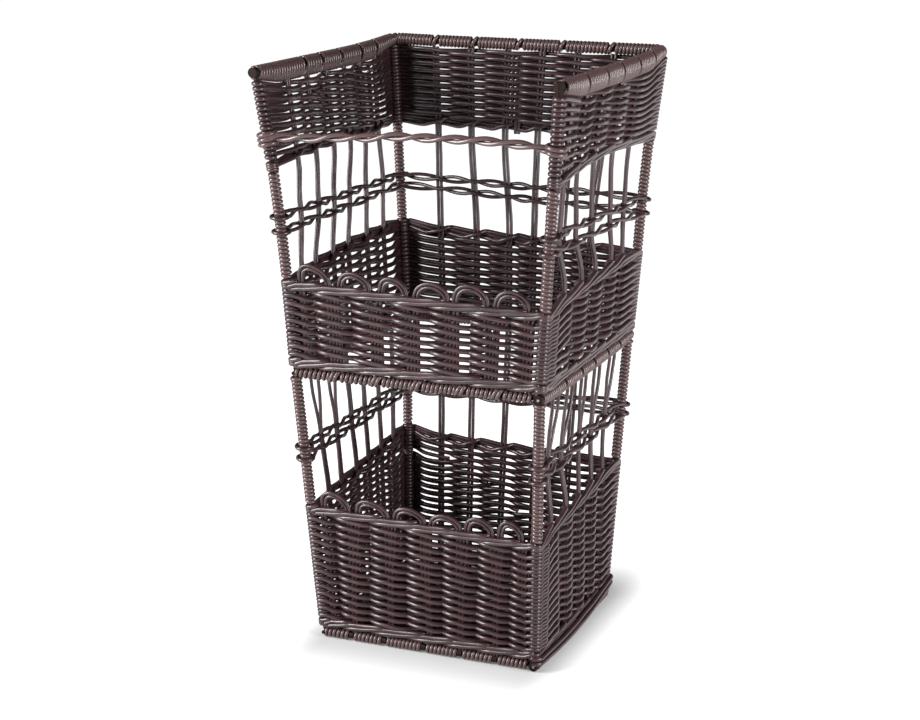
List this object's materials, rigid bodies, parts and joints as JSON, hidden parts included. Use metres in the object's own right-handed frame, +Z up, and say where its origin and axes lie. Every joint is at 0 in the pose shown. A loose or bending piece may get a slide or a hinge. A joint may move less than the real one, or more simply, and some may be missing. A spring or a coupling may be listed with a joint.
{
  "type": "tall bread basket",
  "caption": "Tall tapering bread basket of dark woven plastic strand on a bound rod frame, with stacked open-front bays, open stake screens and scalloped front walls.",
  "frame": {"origin": "on the floor under the middle of the base", "axes": "+Z up, -Y towards the open front, +X to the right seen from the front"},
  "size_m": [0.3518, 0.3612, 0.6533],
  "materials": {
    "bound_strand": "smooth glossy dark brown plastic strand, wound closely",
    "woven_strand": "smooth glossy dark brown plastic strand, woven",
    "stained_rod": "dark stained cane rod"
  },
  "bodies": {
    "root": {"base_front_rail_rod": "stained_rod", "base_front_rail_wrap": "bound_strand", "base_right_rail_rod": "stained_rod", "base_right_rail_wrap": "bound_strand", "base_back_rail_rod": "stained_rod", "base_back_rail_wrap": "bound_strand", "base_left_rail_rod": "stained_rod", "base_left_rail_wrap": "bound_strand", "middle_front_rail_rod": "stained_rod", "middle_front_rail_wrap": "bound_strand", "middle_right_rail_rod": "stained_rod", "middle_right_rail_wrap": "bound_strand", "middle_back_rail_rod": "stained_rod", "middle_back_rail_wrap": "bound_strand", "middle_left_rail_rod": "stained_rod", "middle_left_rail_wrap": "bound_strand", "top_right_rail_rod": "stained_rod", "top_right_rail_wrap": "bound_strand", "top_back_rail_rod": "stained_rod", "top_back_rail_wrap": "bound_strand", "top_left_rail_rod": "stained_rod", "top_left_rail_wrap": "bound_strand", "lower_front_left_post_rod": "stained_rod", "lower_front_left_post_wrap": "bound_strand", "lower_front_right_post_rod": "stained_rod", "lower_front_right_post_wrap": "bound_strand", "lower_back_left_post_rod": "stained_rod", "lower_back_left_post_wrap": "bound_strand", "lower_back_right_post_rod": "stained_rod", "lower_back_right_post_wrap": "bound_strand", "upper_front_left_post_rod": "stained_rod", "upper_front_left_post_wrap": "bound_strand", "upper_front_right_post_rod": "stained_rod", "upper_front_right_post_wrap": "bound_strand", "upper_back_left_post_rod": "stained_rod", "upper_back_left_post_wrap": "bound_strand", "upper_back_right_post_rod": "stained_rod", "upper_back_right_post_wrap": "bound_strand", "base_floor": "woven_strand", "lower_wall_front": "woven_strand", "lower_wall_right": "woven_strand", "lower_wall_back": "woven_strand", "lower_wall_left": "woven_strand", "upper_wall_front": "woven_strand", "upper_wall_right": "woven_strand", "upper_wall_back": "woven_strand", "upper_wall_left": "woven_strand", "crown_wall_right": "woven_strand", "crown_wall_back": "woven_strand", "crown_wall_left": "woven_strand", "lower_screen_right": "woven_strand", "lower_screen_back": "woven_strand", "lower_screen_left": "woven_strand", "upper_screen_right": "woven_strand", "upper_screen_back": "woven_strand", "upper_screen_left": "woven_strand", "lower_scalloped_border": "woven_strand", "upper_scalloped_border": "woven_strand", "twisted_front_bar": "bound_strand"}
  },
  "joints": []
}
